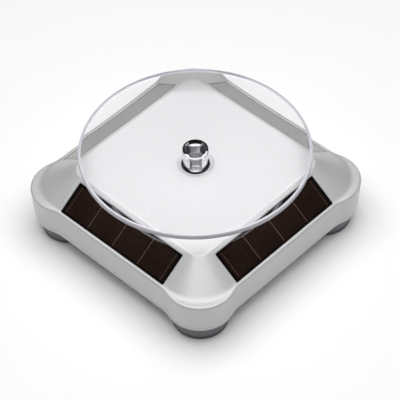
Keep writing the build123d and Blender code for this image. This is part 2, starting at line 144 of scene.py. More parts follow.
def varied(tree, shader, socket, source, low, high, is_colour=False):
    """A socket that drifts between two values with a noise, as a real surface does."""
    if is_colour:
        blend = add_node(tree, "ShaderNodeMix", None, {"Factor": (source, "Fac")}, data_type="RGBA")
        for wanted, value in (("A", low), ("B", high)):
            next(s for s in blend.inputs if s.name == wanted and s.type == "RGBA").default_value = value
        output = next(s for s in blend.outputs if s.type == "RGBA")
    else:
        span = add_node(tree, "ShaderNodeMapRange", {"To Min": low, "To Max": high},
                        {"Value": (source, "Fac")})
        output = span.outputs["Result"]
    tree.links.new(output, shader.inputs[socket])


print("tools ready")

# %% [markdown]
# ## Finishes
# The case is ABS sprayed with a fine silver paint. Aluminium flakes give a soft, broad gloss and a faint
# speckle, so the shader is partly metallic with a middling roughness, and its colour drifts by a few percent
# from flake to flake. Real flakes are about 0.03 mm, too fine to show, so they are drawn at half a
# millimetre.

# %% Silver paint
PAINT_COLOUR = "d1d1d1"
PAINT_SHADE = "bbbbbb"


def silver_paint():
    """Flakes in the bump and the colour, and a slow drift in the gloss."""
    material, tree, shader = new_material("silver_paint_on_abs", Metallic=0.28, Coat_Weight=0.40,
                                          Coat_Roughness=0.20)
    place, flakes = grain(tree, shader, size_mm=0.5, depth_mm=0.04, strength=0.30)
    varied(tree, shader, "Base Color", flakes, srgb(PAINT_SHADE), srgb(PAINT_COLOUR), is_colour=True)
    cloud = noise_on(tree, place, 60.0, 3.0)
    varied(tree, shader, "Roughness", cloud, 0.40, 0.50)
    return material


paint = silver_paint()
print("made", paint.name)

# %% [markdown]
# Acrylic is clear all through, with an IOR of 1.49. It's cast between polished plates, so the faces are
# like glass, but handling leaves a haze of very fine marks. Chrome plate is a mirror over polished metal,
# a little rough where the tool marks still show round the spindle.

# %% Clear acrylic and chrome
ACRYLIC_IOR = 1.49


def clear_acrylic():
    """Clear all through, and lighter in its shadow than glass would be."""
    material, tree, shader = new_material("cast_clear_acrylic", Transmission_Weight=1.0, IOR=ACRYLIC_IOR)
    shader.inputs["Base Color"].default_value = srgb("fdfdfe")
    place = add_node(tree, "ShaderNodeTexCoord")
    haze = noise_on(tree, place, 40.0)
    varied(tree, shader, "Roughness", haze, 0.0, 0.012)
    clear = add_node(tree, "ShaderNodeBsdfTransparent", {"Color": srgb("fafafb")})
    path = add_node(tree, "ShaderNodeLightPath")
    mixed = add_node(tree, "ShaderNodeMixShader", None, {0: (path, "Is Shadow Ray"), 1: (shader, "BSDF"),
                                                         2: (clear, "BSDF")})
    tree.links.new(mixed.outputs["Shader"], tree.nodes["Material Output"].inputs["Surface"])
    return material


def acrylic_edge_painted_glow():
    """The rounded edge, milky and pale violet: painted light for the bright band that the plate shows there.
    """
    material, tree, shader = new_material("painted_glow_acrylic_edge", Transmission_Weight=0.45, IOR=ACRYLIC_IOR)
    place = add_node(tree, "ShaderNodeTexCoord")
    haze = noise_on(tree, place, 120.0)
    varied(tree, shader, "Base Color", haze, srgb("e3e1ec"), srgb("eeedf4"), is_colour=True)
    varied(tree, shader, "Roughness", haze, 0.12, 0.22)
    return material


def chrome_plate():
    """Bright plating with the faint trace of turning marks under it."""
    material, tree, shader = new_material("polished_chrome_plate", Metallic=1.0)
    shader.inputs["Base Color"].default_value = srgb("e6e6e9")
    place = add_node(tree, "ShaderNodeTexCoord")
    marks = noise_on(tree, place, 700.0)
    varied(tree, shader, "Roughness", marks, 0.04, 0.09)
    return material


acrylic = clear_acrylic()
edge_painted_glow = acrylic_edge_painted_glow()
chrome = chrome_plate()
print("made", acrylic.name, edge_painted_glow.name, "and", chrome.name)

# %% [markdown]
# An amorphous solar cell is a film of dark brown silicon on the back of a thin glass plate. The glass gives
# the sharp reflection, and the film under it gives the brown. Silicon has a high index, so it mirrors the
# room a second time where it is seen at a grazing angle. Fine scribed lines part the film into cells.

# %% Solar cell finishes
def behind_glass(name, dark, light, size_mm):
    """A film seen through the cell's glass: a dark, glossy layer under a clear, sharp coat."""
    material, tree, shader = new_material(name, IOR=1.9, Roughness=0.06, Coat_Weight=1.0, Coat_IOR=1.8,
                                          Coat_Roughness=0.02)
    place = add_node(tree, "ShaderNodeTexCoord")
    cloud = noise_on(tree, place, 1 / (size_mm * MM), 3.0)
    varied(tree, shader, "Base Color", cloud, srgb(dark), srgb(light), is_colour=True)
    return material


cell_film = behind_glass("amorphous_silicon_film", "1f1511", "281c17", 9.0)
# The black border is painted shadow: near black for the shade that the pocket's wall casts round the cell.
cell_painted_shadow = behind_glass("black_border_painted_shadow", "030303", "060606", 6.0)
cell_line = behind_glass("scribed_line", "5c4d46", "6a5951", 2.0)
print("made", cell_film.name, cell_painted_shadow.name, cell_line.name)

# %% [markdown]
# The feet are dark grey moulded plastic with a spark-eroded grain, and their pads are rubber, duller and
# blacker. Steel, brass, nylon and the other inner finishes follow with one line each.

# %% Feet and inner finishes
GRAIN_DEPTH = 0.03
ROUGH_DRIFT = 0.05


def moulded(name, dark, light, rough, grain_mm=0.3, strength=0.25, **sockets):
    """A moulded or plain finish: a fine grain, a slight drift of colour and of roughness."""
    material, tree, shader = new_material(name, **sockets)
    place = grain(tree, shader, grain_mm, GRAIN_DEPTH, strength)[0]
    cloud = noise_on(tree, place, 90.0, 3.0)
    varied(tree, shader, "Base Color", cloud, srgb(dark), srgb(light), is_colour=True)
    varied(tree, shader, "Roughness", cloud, rough - ROUGH_DRIFT, rough + ROUGH_DRIFT)
    return material


foot_plastic = moulded("grey_moulded_abs", "707075", "7a7a80", 0.42)
pad_rubber = moulded("grey_rubber", "5a5a5e", "646468", 0.7)
steel = moulded("plain_steel", "a4a5a8", "b4b5b8", 0.32, 0.15, 0.08, Metallic=1.0)
brass = moulded("turned_brass", "c79f4e", "d6b064", 0.25, 0.15, 0.08, Metallic=1.0)
nylon = moulded("natural_nylon", "e2dfd2", "ebe8dc", 0.45)
cast_zinc = moulded("cast_zinc", "8a8a8f", "9b9ba1", 0.34, 0.2, 0.1, Metallic=0.5)
black_plastic = moulded("black_gearbox_plastic", "1c1c1f", "242428", 0.45)
board_green = moulded("glass_fibre_board", "10502a", "1a6336", 0.35, 0.5)
capacitor_blue = moulded("blue_capacitor_sleeve", "14213f", "1b2b50", 0.3, 0.2, 0.05)
cell_green = moulded("green_battery_sleeve", "2f6b4b", "397a57", 0.28, 0.2, 0.05)
print("made", len(bpy.data.materials), "materials")

# %% [markdown]
# ## Meshes
# A CAD surface is a cloud of loose triangles. It's right in size, but a soft moulded edge needs its own
# mesh, so the case is built again from its own rule: rings of points, each one a plan of the case.

# %% Mesh tools
def new_piece(name, mesh, body, material=None, stands_for=()):
    """A finished mesh as a piece of the object: in place, on its body, with its finish."""
    piece = bpy.data.objects.new(name, mesh)
    bpy.context.scene.collection.objects.link(piece)
    if material is not None:
        mesh.materials.clear()
        mesh.materials.append(material)
    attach(piece, body)
    if stands_for:
        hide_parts(*stands_for)
    return piece


def smooth(mesh, degrees):
    """Smooth shading with an edge kept sharp where it turns by more than an angle."""
    shape = bmesh.new()
    shape.from_mesh(mesh)
    for face in shape.faces:
        face.smooth = True
    for edge in shape.edges:
        edge.smooth = len(edge.link_faces) == 2 and edge.calc_face_angle(0.0) < math.radians(degrees)
    shape.to_mesh(mesh)
    shape.free()
    return mesh


def outward(mesh):
    """Merged doubles, and every face of a closed mesh turned outwards."""
    shape = bmesh.new()
    shape.from_mesh(mesh)
    bmesh.ops.remove_doubles(shape, verts=shape.verts, dist=1e-7)
    bmesh.ops.recalc_face_normals(shape, faces=shape.faces)
    shape.to_mesh(mesh)
    shape.free()
    return mesh


print("mesh tools ready")

# %% [markdown]
# ## The case
# In plan the case is a square with a round lobe over each foot, and a hollow arc blends each lobe into the
# sides. From above, its roof is a rounded square pyramid cut off by the plateau. Both follow a rule, so a
# point's height is worked out from its place: the lowest of the roof and the plateau, or the rim where that
# is higher, with the joins smoothed as moulding leaves them. Over the lobes the roof is a little fuller.

# %% The case's sizes, in millimetres
shell_low, shell_high = (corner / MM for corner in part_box("top_shell"))
foot_low, foot_high = (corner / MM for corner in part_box("foot_front_right"))
LOBE_RADIUS = 14.7
LOBE_CENTRE = (foot_low.x + foot_high.x) / 2
WALL_HALF = 50.0
LOBE_BLEND = 14.0
WALL_DRAFT = 0.8
RIM_ROUND = 0.95
FOOT_TOP = foot_high.z
SHELL_BOTTOM = shell_low.z
PLATEAU = shell_high.z
ROOF_DROP = 9.45
RIM = PLATEAU - ROOF_DROP
ROOF_HALF, ROOF_CORNER = 49.0, 18.4
PLATEAU_HALF, PLATEAU_CORNER = 35.2, 4.6
LOBE_FULLNESS = 0.9
PLATEAU_BLEND, RIM_BLEND = 0.35, 0.8
SLOPE = ROOF_DROP / (ROOF_HALF - PLATEAU_HALF)
CORNER_CENTRE = ROOF_HALF - ROOF_CORNER
WALL, PLATEAU_WALL = 1.9, 1.8
SHELL_EDGE_ROUND = 0.15
WALL_LEVELS = (20.5, 18.0, 15.0, 12.5, 11.5)
INNER_WALL_TOP = 16.0
UNDER_ROOF, UNDER_ROOF_HALF, UNDER_ROOF_CORNER = 19.2, 48.0, 15.6
CEILING_HALF, CEILING_CORNER = 33.2, 1.5
FLAT_HALF, FLAT_CORNER = 33.6, 3.2
HOLE_RADIUS, HOLE_EDGE, COLLAR_RADIUS, COLLAR_DEPTH = 5.95, 0.45, 8.2, 0.5
print("lobe centre", round(LOBE_CENTRE, 2), "rim", round(RIM, 2), "plateau", round(PLATEAU, 2))

# %% [markdown]
# Two rules give the plan: how far the case, or a rounded square, stands from the axis at an angle. A third
# gives the height. The plan is the same in every eighth of a turn, so an angle is folded into the first one.
# Points lie closer together where the plan bends, near the corners.

# %% The case's rule
def ray_to_circle(angle, centre_x, centre_y, radius, far):
    """How far a ray from the axis runs to a circle, to its far or near side."""
    along = centre_x * math.cos(angle) + centre_y * math.sin(angle)
    aside = centre_x * math.sin(angle) - centre_y * math.cos(angle)
    reach = math.sqrt(max(0.0, radius * radius - aside * aside))
    return along + reach if far else along - reach


def folded(angle):
    """An angle folded into the first eighth of the plan."""
    angle = angle % (math.pi / 2)
    return min(angle, math.pi / 2 - angle)


def case_reach(angle, inset):
    """How far the case's plan stands from the axis at an angle, pulled in by an inset."""
    angle = folded(angle)
    half, lobe = WALL_HALF - inset, LOBE_RADIUS - inset
    blend_x = half + LOBE_BLEND
    drop = math.sqrt((LOBE_BLEND + lobe) ** 2 - (blend_x - LOBE_CENTRE) ** 2)
    blend_y = LOBE_CENTRE - drop
    share = lobe / (lobe + LOBE_BLEND)
    join = math.atan2(LOBE_CENTRE - drop * share, LOBE_CENTRE + (blend_x - LOBE_CENTRE) * share)
    if angle < math.atan2(blend_y, half):
        return half / math.cos(angle)
    if angle < join:
        return ray_to_circle(angle, blend_x, blend_y, LOBE_BLEND, far=False)
    return ray_to_circle(angle, LOBE_CENTRE, LOBE_CENTRE, lobe, far=True)


def square_reach(angle, half, corner):
    """How far a rounded square stands from the axis at an angle."""
    angle = folded(angle)
    if angle < math.atan2(half - corner, half):
        return half / math.cos(angle)
    return ray_to_circle(angle, half - corner, half - corner, corner, far=True)


def soft_least(a, b, blend):
    """The lesser of two heights, with the crease between them rounded."""
    near = max(blend - abs(a - b), 0.0) / blend
    return min(a, b) - near * near * blend / 4


def top_height(x, y):
    """The height of the case's upper surface, before its outer edge is rounded."""
    across, along = abs(x) - CORNER_CENTRE, abs(y) - CORNER_CENTRE
    spread = math.hypot(max(across, 0.0), max(along, 0.0)) + min(max(across, along), 0.0)
    if across > 0 and along > 0 and spread > PLATEAU_CORNER:
        towards_corner = 2 * across * along / (spread * spread)
        down_the_roof = (spread - PLATEAU_CORNER) / (ROOF_CORNER - PLATEAU_CORNER)
        spread -= LOBE_FULLNESS * towards_corner * down_the_roof
    roof = RIM + (ROOF_CORNER - spread) * SLOPE
    roofed = soft_least(roof, PLATEAU, PLATEAU_BLEND)
    return -soft_least(-roofed, -RIM, RIM_BLEND)


def draft(height):
    """How far the side walls lean in at a height."""
    return WALL_DRAFT * (RIM - height) / (RIM - FOOT_TOP)


EIGHTH = [0, 5, 10, 15, 20, 24, 27, 28.5, 29.3, 30, 30.8, 31.6, 32.4, 33.2, 34, 34.8, 35.6, 36.4, 37.2,
          38, 38.8, 39.6, 40.4, 41.1, 41.8, 42.4, 42.9, 43.3, 43.7, 44.1, 44.5]
quarter = EIGHTH + [45] + [90 - a for a in reversed(EIGHTH[1:])]
angles = [math.radians(side * 90 + a) for side in range(4) for a in quarter]
print("each ring has", len(angles), "points")

# %% [markdown]
# The rings start at the spindle's hole, cross the plateau, run down the roof and over the rim, down the wall
# and back inside, and end where they started, so the skin closes on itself. Rings lie close together where
# the surface turns, and far apart where it is flat.

# %% The case's rings
def ring(reach, height):
    """One closed ring of points from two rules of the angle."""
    points = []
    for angle in angles:
        r = reach(angle)
        x, y = r * math.cos(angle), r * math.sin(angle)
        points.append((x, y, height(x, y)))
    return points


def level_ring(reach, z):
    """A ring that lies flat at a height."""
    return ring(reach, lambda x, y: z)


def collar_height(radius):
    """The shallow dish round the spindle's hole."""
    share = (radius - HOLE_RADIUS - HOLE_EDGE) / (COLLAR_RADIUS - HOLE_RADIUS - HOLE_EDGE)
    share = min(max(share, 0.0), 1.0)
    return PLATEAU - COLLAR_DEPTH * (1 - share * share * (3 - 2 * share))


def plateau_rings():
    """From the spindle's hole over its rounded edge and the shallow dish to the flat of the plateau."""
    rings = [level_ring(lambda a: HOLE_RADIUS, PLATEAU - PLATEAU_WALL + 0.1)]
    for part in (0.0, 0.35, 0.6, 0.78, 0.9, 0.96, 1.0):
        step = HOLE_EDGE * (1 - math.sqrt(max(0.0, 1 - part * part)))
        height = PLATEAU - COLLAR_DEPTH - HOLE_EDGE * (1 - part)
        rings.append(level_ring(lambda a, s=step: HOLE_RADIUS + s, height))
    for count in range(1, 9):
        radius = HOLE_RADIUS + HOLE_EDGE + (COLLAR_RADIUS - HOLE_RADIUS - HOLE_EDGE) * count / 8
        rings.append(level_ring(lambda a, r=radius: r, collar_height(radius)))
    for share in (0.15, 0.4, 0.7, 1.0):
        rings.append(level_ring(lambda a, s=share: COLLAR_RADIUS * (1 - s)
                                + s * square_reach(a, FLAT_HALF, FLAT_CORNER), PLATEAU))
    return rings


def roof_rings():
    """From the edge of the plateau down the roof, out to the case's plan and over the rounded rim."""
    rings = []
    spreads = [-1.1, -0.8, -0.6, -0.4, -0.2, 0.0, 0.2, 0.4, 0.6, 0.9, 1.3, 2.5, 5.0, 7.5, 10.0, 11.6, 12.2]
    for out in spreads:
        half, corner = PLATEAU_HALF + out, max(PLATEAU_CORNER + out, 1.0)
        rings.append(ring(lambda a, h=half, c=corner: square_reach(a, h, c), top_height))
    last = PLATEAU_HALF + spreads[-1], PLATEAU_CORNER + spreads[-1]
    for share in (0.1, 0.2, 0.3, 0.4, 0.5, 0.6, 0.7, 0.85, 1.0):
        rings.append(ring(lambda a, s=share: (1 - s) * square_reach(a, *last)
                          + s * case_reach(a, RIM_ROUND), top_height))
    for count in range(1, 9):
        swing = math.radians(90) * count / 8
        inset = RIM_ROUND * (1 - math.sin(swing))
        sunk = RIM_ROUND * (1 - math.cos(swing))
        rings.append(ring(lambda a, i=inset: case_reach(a, i), lambda x, y, d=sunk: top_height(x, y) - d))
    return rings


def wall_rings():
    """Down the drafted wall, round its foot, and back inside to the plateau's underside."""
    rings = []
    for z in (*WALL_LEVELS, SHELL_BOTTOM + SHELL_EDGE_ROUND):
        rings.append(level_ring(lambda a, h=z: case_reach(a, draft(h)), z))
    inside = draft(SHELL_BOTTOM) + WALL

    def inner(angle):
        return case_reach(angle, inside)

    def under_roof(angle):
        return min(inner(angle), square_reach(angle, UNDER_ROOF_HALF, UNDER_ROOF_CORNER))

    rings.append(level_ring(lambda a: case_reach(a, draft(SHELL_BOTTOM) + SHELL_EDGE_ROUND), SHELL_BOTTOM))
    rings.append(level_ring(inner, SHELL_BOTTOM))
    rings.append(level_ring(inner, INNER_WALL_TOP))
    rings.append(level_ring(under_roof, UNDER_ROOF))
    rings.append(level_ring(lambda a: square_reach(a, CEILING_HALF, CEILING_CORNER), PLATEAU - PLATEAU_WALL))
    return rings


def skin(rings):
    """A closed skin over rings of equal length, the last joined to the first."""
    count = len(rings[0])
    points = [tuple(value * MM for value in point) for one in rings for point in one]
    faces = []
    for row in range(len(rings)):
        following = (row + 1) % len(rings)
        for place in range(count):
            beside = (place + 1) % count
            faces.append((row * count + place, row * count + beside, following * count + beside,
                          following * count + place))
    mesh = bpy.data.meshes.new("skin")
    mesh.from_pydata(points, [], faces)
    return outward(mesh)


case_mesh = skin(plateau_rings() + roof_rings() + wall_rings())
print("the case has", len(case_mesh.polygons), "faces")

# %% [markdown]
# ## The windows
# Each window is a pocket sunk square to the roof, with a slot under the cell for its leads. A cutter with a
# flared mouth leaves a rounded edge, which catches the light as the fine bright line round each cell.

# %% Window places
WINDOW_LENGTH, WINDOW_WIDTH, POCKET_DEPTH = 56.4, 13.9, 1.5
WINDOW_OUTER = 48.58
MOUTH_ROUND = 0.45
POCKET_CORNER, MOUTH_CORNER = 0.5, 1.0
SLOT_LENGTH, SLOT_WIDTH, SLOT_CORNER = 46.0, 5.0, 1.0
CUTTER_ABOVE, SLOT_BELOW, SLOT_OVERLAP = 2.0, 6.0, 0.4
TILT = math.atan(SLOPE)
SIDES = {"right": 0, "back": 90, "left": 180, "front": 270}


def window_matrix(turn):
    """The window's own axes in the case: X along the side, Y up the roof, Z out of it, in millimetres."""
    x = WINDOW_OUTER - WINDOW_WIDTH * math.cos(TILT) / 2
    z = RIM + (ROOF_HALF - x) * SLOPE
    normal = Vector((math.sin(TILT), 0, math.cos(TILT)))
    along = Vector((0, 1, 0))
    frame_axes = Matrix((along, normal.cross(along), normal)).transposed().to_4x4()
    return Matrix.Rotation(math.radians(turn), 4, "Z") @ Matrix.Translation((x, 0, z)) @ frame_axes


def rounded_box_loop(length, width, corner, z, steps=4):
    """A rounded rectangle's points at a height, anticlockwise."""
    points = []
    for quarter_turn in range(4):
        side_x = 1 if quarter_turn in (0, 3) else -1
        side_y = 1 if quarter_turn in (0, 1) else -1
        centre = (side_x * (length / 2 - corner), side_y * (width / 2 - corner))
        for step in range(steps + 1):
            swing = math.radians(90 * quarter_turn + 90 * step / steps)
            points.append((centre[0] + corner * math.cos(swing), centre[1] + corner * math.sin(swing), z))
    return points


def stack(shape, loops, matrix):
    """Loops of points joined into a closed block, in the case's place."""
    rows = [[shape.verts.new((matrix @ Vector(p)) * MM) for p in loop] for loop in loops]
    for low, high in zip(rows, rows[1:]):
        for place in range(len(low)):
            beside = (place + 1) % len(low)
            shape.faces.new((low[place], low[beside], high[beside], high[place]))
    shape.faces.new(list(reversed(rows[0])))
    shape.faces.new(rows[-1])


def window_cutter():
    """The four pockets with their flared mouths, and the four slots under them."""
    shape = bmesh.new()
    for turn in SIDES.values():
        matrix = window_matrix(turn)
        loops = [rounded_box_loop(WINDOW_LENGTH, WINDOW_WIDTH, POCKET_CORNER, -POCKET_DEPTH)]
        for swing in (0, 22.5, 45, 67.5, 90):
            flare = MOUTH_ROUND * (1 - math.cos(math.radians(swing)))
            rise = -MOUTH_ROUND + MOUTH_ROUND * math.sin(math.radians(swing))
            loops.append(rounded_box_loop(WINDOW_LENGTH + 2 * flare, WINDOW_WIDTH + 2 * flare,
                                          POCKET_CORNER + flare, rise))
        loops.append(rounded_box_loop(WINDOW_LENGTH + 2 * MOUTH_ROUND, WINDOW_WIDTH + 2 * MOUTH_ROUND,
                                      MOUTH_CORNER, CUTTER_ABOVE))
        stack(shape, loops, matrix)
        slot_levels = (-SLOT_BELOW, -POCKET_DEPTH + SLOT_OVERLAP)
        stack(shape, [rounded_box_loop(SLOT_LENGTH, SLOT_WIDTH, SLOT_CORNER, z) for z in slot_levels], matrix)
    mesh = bpy.data.meshes.new("window_cutter")
    shape.to_mesh(mesh)
    shape.free()
    return mesh


def cut(mesh, cutter_mesh):
    """One mesh less another."""
    subject = bpy.data.objects.new("subject", mesh)
    cutter = bpy.data.objects.new("cutter", cutter_mesh)
    for thing in (subject, cutter):
        bpy.context.scene.collection.objects.link(thing)
    modifier = subject.modifiers.new("cut", "BOOLEAN")
    modifier.operation = "DIFFERENCE"
    modifier.solver = "EXACT"
    modifier.use_self = True
    modifier.object = cutter
    bpy.context.view_layer.update()
    result = bpy.data.meshes.new_from_object(subject.evaluated_get(bpy.context.evaluated_depsgraph_get()))
    bpy.data.objects.remove(subject)
    bpy.data.objects.remove(cutter)
    return result


case_mesh = cut(case_mesh, window_cutter())
case_mesh.name = "case_shell"
smooth(case_mesh, 24)
new_piece("case_shell", case_mesh, "case", paint, ["top_shell"])
print("with its windows the case has", len(case_mesh.polygons), "faces")

# %% [markdown]
# ## Round things, by a rule
# The disc, the feet and their pads are all turned shapes: an outline in the plane of radius and height,
# swept round the axis. One geometry node tree does that for each. It reads the outline as a loose mesh whose
# points carry their own rounding, so a corner can be left crisp or made soft, and it can set the result
# down once in the middle or at the four corners of a square.

# %% The lathe tree
PATH_RADIUS = 20.0 * MM


def node_tree(name, sockets):
    """An empty geometry node tree with named inputs: (name, socket type, default)."""
    tree = bpy.data.node_groups.new(name, "GeometryNodeTree")
    for label, kind, value in sockets:
        socket = tree.interface.new_socket(label, in_out="INPUT", socket_type=kind)
        if value is not None:
            socket.default_value = value
    tree.interface.new_socket("Geometry", in_out="OUTPUT", socket_type="NodeSocketGeometry")
    return tree, add_node(tree, "NodeGroupInput"), add_node(tree, "NodeGroupOutput")


def copied(tree, given, result, points, instance):
    """The end of a tree: a copy at every point, made real and given its finish."""
    copies = add_node(tree, "GeometryNodeInstanceOnPoints", None, {"Points": points, "Instance": instance})
    real = add_node(tree, "GeometryNodeRealizeInstances", None, {"Geometry": (copies, "Instances")})
    finished = add_node(tree, "GeometryNodeSetMaterial", None,
                        {"Geometry": (real, "Geometry"), "Material": (given, "Finish")})
    tree.links.new(finished.outputs["Geometry"], result.inputs["Geometry"])
    return tree


def lathe_tree():
    """An outline with rounded corners, swept round the axis, set once or at four corners."""
    tree, given, result = node_tree("lathe", [
        ("Outline", "NodeSocketGeometry", None), ("Segments", "NodeSocketInt", 128),
        ("Corner Steps", "NodeSocketInt", 8), ("Corner Square", "NodeSocketFloat", 0.0),
        ("Finish", "NodeSocketMaterial", None)])
    line = add_node(tree, "GeometryNodeMeshToCurve", None, {"Mesh": (given, "Outline")})
    rounding = add_node(tree, "GeometryNodeInputNamedAttribute", {"Name": "round"}, data_type="FLOAT")
    soft = add_node(tree, "GeometryNodeFilletCurve", None,
                    {"Curve": (line, "Curve"), "Count": (given, "Corner Steps"),
                     "Radius": (rounding, "Attribute")}, mode="POLY")
    centred = add_node(tree, "GeometryNodeTransform",
                       {"Translation": (-PATH_RADIUS, 0, 0), "Scale": (1, -1, 1)},
                       {"Geometry": (soft, "Curve")})
    path = add_node(tree, "GeometryNodeCurvePrimitiveCircle", {"Radius": PATH_RADIUS},
                    {"Resolution": (given, "Segments")})
    turned = add_node(tree, "GeometryNodeCurveToMesh", None,
                      {"Curve": (path, "Curve"), "Profile Curve": (centred, "Geometry")})
    square = add_node(tree, "GeometryNodeCurvePrimitiveQuadrilateral", None,
                      {"Width": (given, "Corner Square"), "Height": (given, "Corner Square")})
    corners = add_node(tree, "GeometryNodeCurveToPoints", None, {"Curve": (square, "Curve")},
                       mode="EVALUATED")
    middle = add_node(tree, "GeometryNodePoints", {"Count": 1})
    four = add_node(tree, "FunctionNodeCompare", {"B": 0.0001}, {"A": (given, "Corner Square")},
                    data_type="FLOAT", operation="GREATER_THAN")
    places = add_node(tree, "GeometryNodeSwitch", None,
                      {"Switch": (four, "Result"), "False": (middle, "Points"), "True": (corners, "Points")},
                      input_type="GEOMETRY")
    return copied(tree, given, result, (places, "Output"), (turned, "Mesh"))


def grown(name, tree, base_mesh, **values):
    """The plain mesh that a tree makes from a base mesh, with its named inputs set before it first runs."""
    holder = bpy.data.objects.new(name, base_mesh)
    modifier = holder.modifiers.new("rule", "NODES")
    modifier.node_group = tree
    sockets = {item.name: item.identifier for item in tree.interface.items_tree if item.in_out == "INPUT"}
    for label, value in values.items():
        modifier[sockets[label.replace("_", " ")]] = value
    bpy.context.scene.collection.objects.link(holder)
    bpy.context.view_layer.update()
    mesh = bpy.data.meshes.new_from_object(holder.evaluated_get(bpy.context.evaluated_depsgraph_get()))
    bpy.data.objects.remove(holder)
    mesh.name = name
    return mesh


def outline(points):
    """A closed outline of (radius, height, rounding) in millimetres, as a mesh of edges."""
    mesh = bpy.data.meshes.new("outline")
    count = len(points)
    mesh.from_pydata([(r * MM, z * MM, 0) for r, z, soft in points],
                     [(place, (place + 1) % count) for place in range(count)], [])
    rounding = mesh.attributes.new("round", "FLOAT", "POINT")
    rounding.data.foreach_set("value", [soft * MM for r, z, soft in points])
    return mesh


lathe = lathe_tree()
print("the lathe tree has", len(lathe.nodes), "nodes")

# %% [markdown]
# ## The disc
# The turntable is a plate of cast acrylic, 93 mm across and 2.5 mm thick. Its faces are clear, and its outer
# edge is rounded. Its edge faces are painted milky and pale violet: painted light for the bright band that
# light carried inside the plate shows round the disc.

# %% Clear disc
disc_low, disc_high = (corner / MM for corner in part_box("turntable_disc"))
BORE_RADIUS, BORE_ROUND, EDGE_ROUND = 5.08, 0.15, 1.15
disc_outline = outline([(disc_high.x, disc_low.z, EDGE_ROUND), (disc_high.x, disc_high.z, EDGE_ROUND),
                        (BORE_RADIUS, disc_high.z, BORE_ROUND), (BORE_RADIUS, disc_low.z, BORE_ROUND)])
disc_mesh = outward(grown("clear_disc", lathe, disc_outline, Segments=256, Corner_Steps=9, Finish=acrylic))
smooth(disc_mesh, 40)
new_piece("clear_disc", disc_mesh, "turntable", acrylic, ["turntable_disc"])
# The rounded edge's faces take the painted glow, a milky finish for the light that the plate carries to its
# rim.
disc_mesh.materials.append(edge_painted_glow)
EDGE_STARTS = disc_high.x - EDGE_ROUND
for face in disc_mesh.polygons:
    face.material_index = 1 if math.hypot(face.center.x, face.center.y) / MM > EDGE_STARTS else 0
print("disc", round(disc_high.x, 2), "mm in radius,", len(disc_mesh.polygons), "faces")

# %% [markdown]
# ## Feet
# Each lobe stands on a short round foot with a rubber pad under it. The case screw sits deep in a
# counterbore, so a foot is a stepped ring. The edges are soft, as on any moulded part.

# %% Feet and pads
SCREW_PLAY_RADIUS, COUNTERBORE_RADIUS, COUNTERBORE_TOP = 1.6, 3.1, 5.0
pad_low, pad_high = (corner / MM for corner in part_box("foot_pad_front_right"))
FOOT_RADIUS = (foot_high.x - foot_low.x) / 2
PAD_RADIUS = (pad_high.x - pad_low.x) / 2
CORNERS = ("front_left", "front_right", "back_left", "back_right")
foot_outline = outline([(SCREW_PLAY_RADIUS, foot_high.z, 0.0), (SCREW_PLAY_RADIUS, COUNTERBORE_TOP, 0.1),
                        (COUNTERBORE_RADIUS, COUNTERBORE_TOP, 0.1), (COUNTERBORE_RADIUS, foot_low.z, 0.1),
                        (FOOT_RADIUS, foot_low.z, 0.35), (FOOT_RADIUS, foot_high.z, 0.2)])
pad_outline = outline([(COUNTERBORE_RADIUS, pad_high.z, 0.0), (COUNTERBORE_RADIUS, 0.0, 0.3),
                       (PAD_RADIUS, 0.0, 0.5), (PAD_RADIUS, pad_high.z, 0.15)])
for name, profile, finish, slot, stem in (
        ("round_feet", foot_outline, foot_plastic, "foot_plastic", "foot_"),
        ("foot_pads", pad_outline, pad_rubber, "foot_rubber", "foot_pad_")):
    mesh = outward(grown(name, lathe, profile, Segments=96, Corner_Steps=5,
                         Corner_Square=2 * LOBE_CENTRE * MM, Finish=finish))
    smooth(mesh, 40)
    new_piece(name, mesh, "case", finish, [stem + corner for corner in CORNERS])
    print(name, "made with", len(mesh.polygons), "faces")

# %% [markdown]
# ## Solar cells
# Each cell is a glass plate whose bare rim is painted black: painted shadow for the shade that the pocket's
# wall casts round the cell. The brown film behind it is scribed into four fields, and a thin electrode line
# crosses each end. The glass plates are the CAD's own. A small tree lays the fields in a row over a lighter
# backing, so the backing shows as the fine lines between them.

# %% The film tree
FILM_CORNER = 0.05


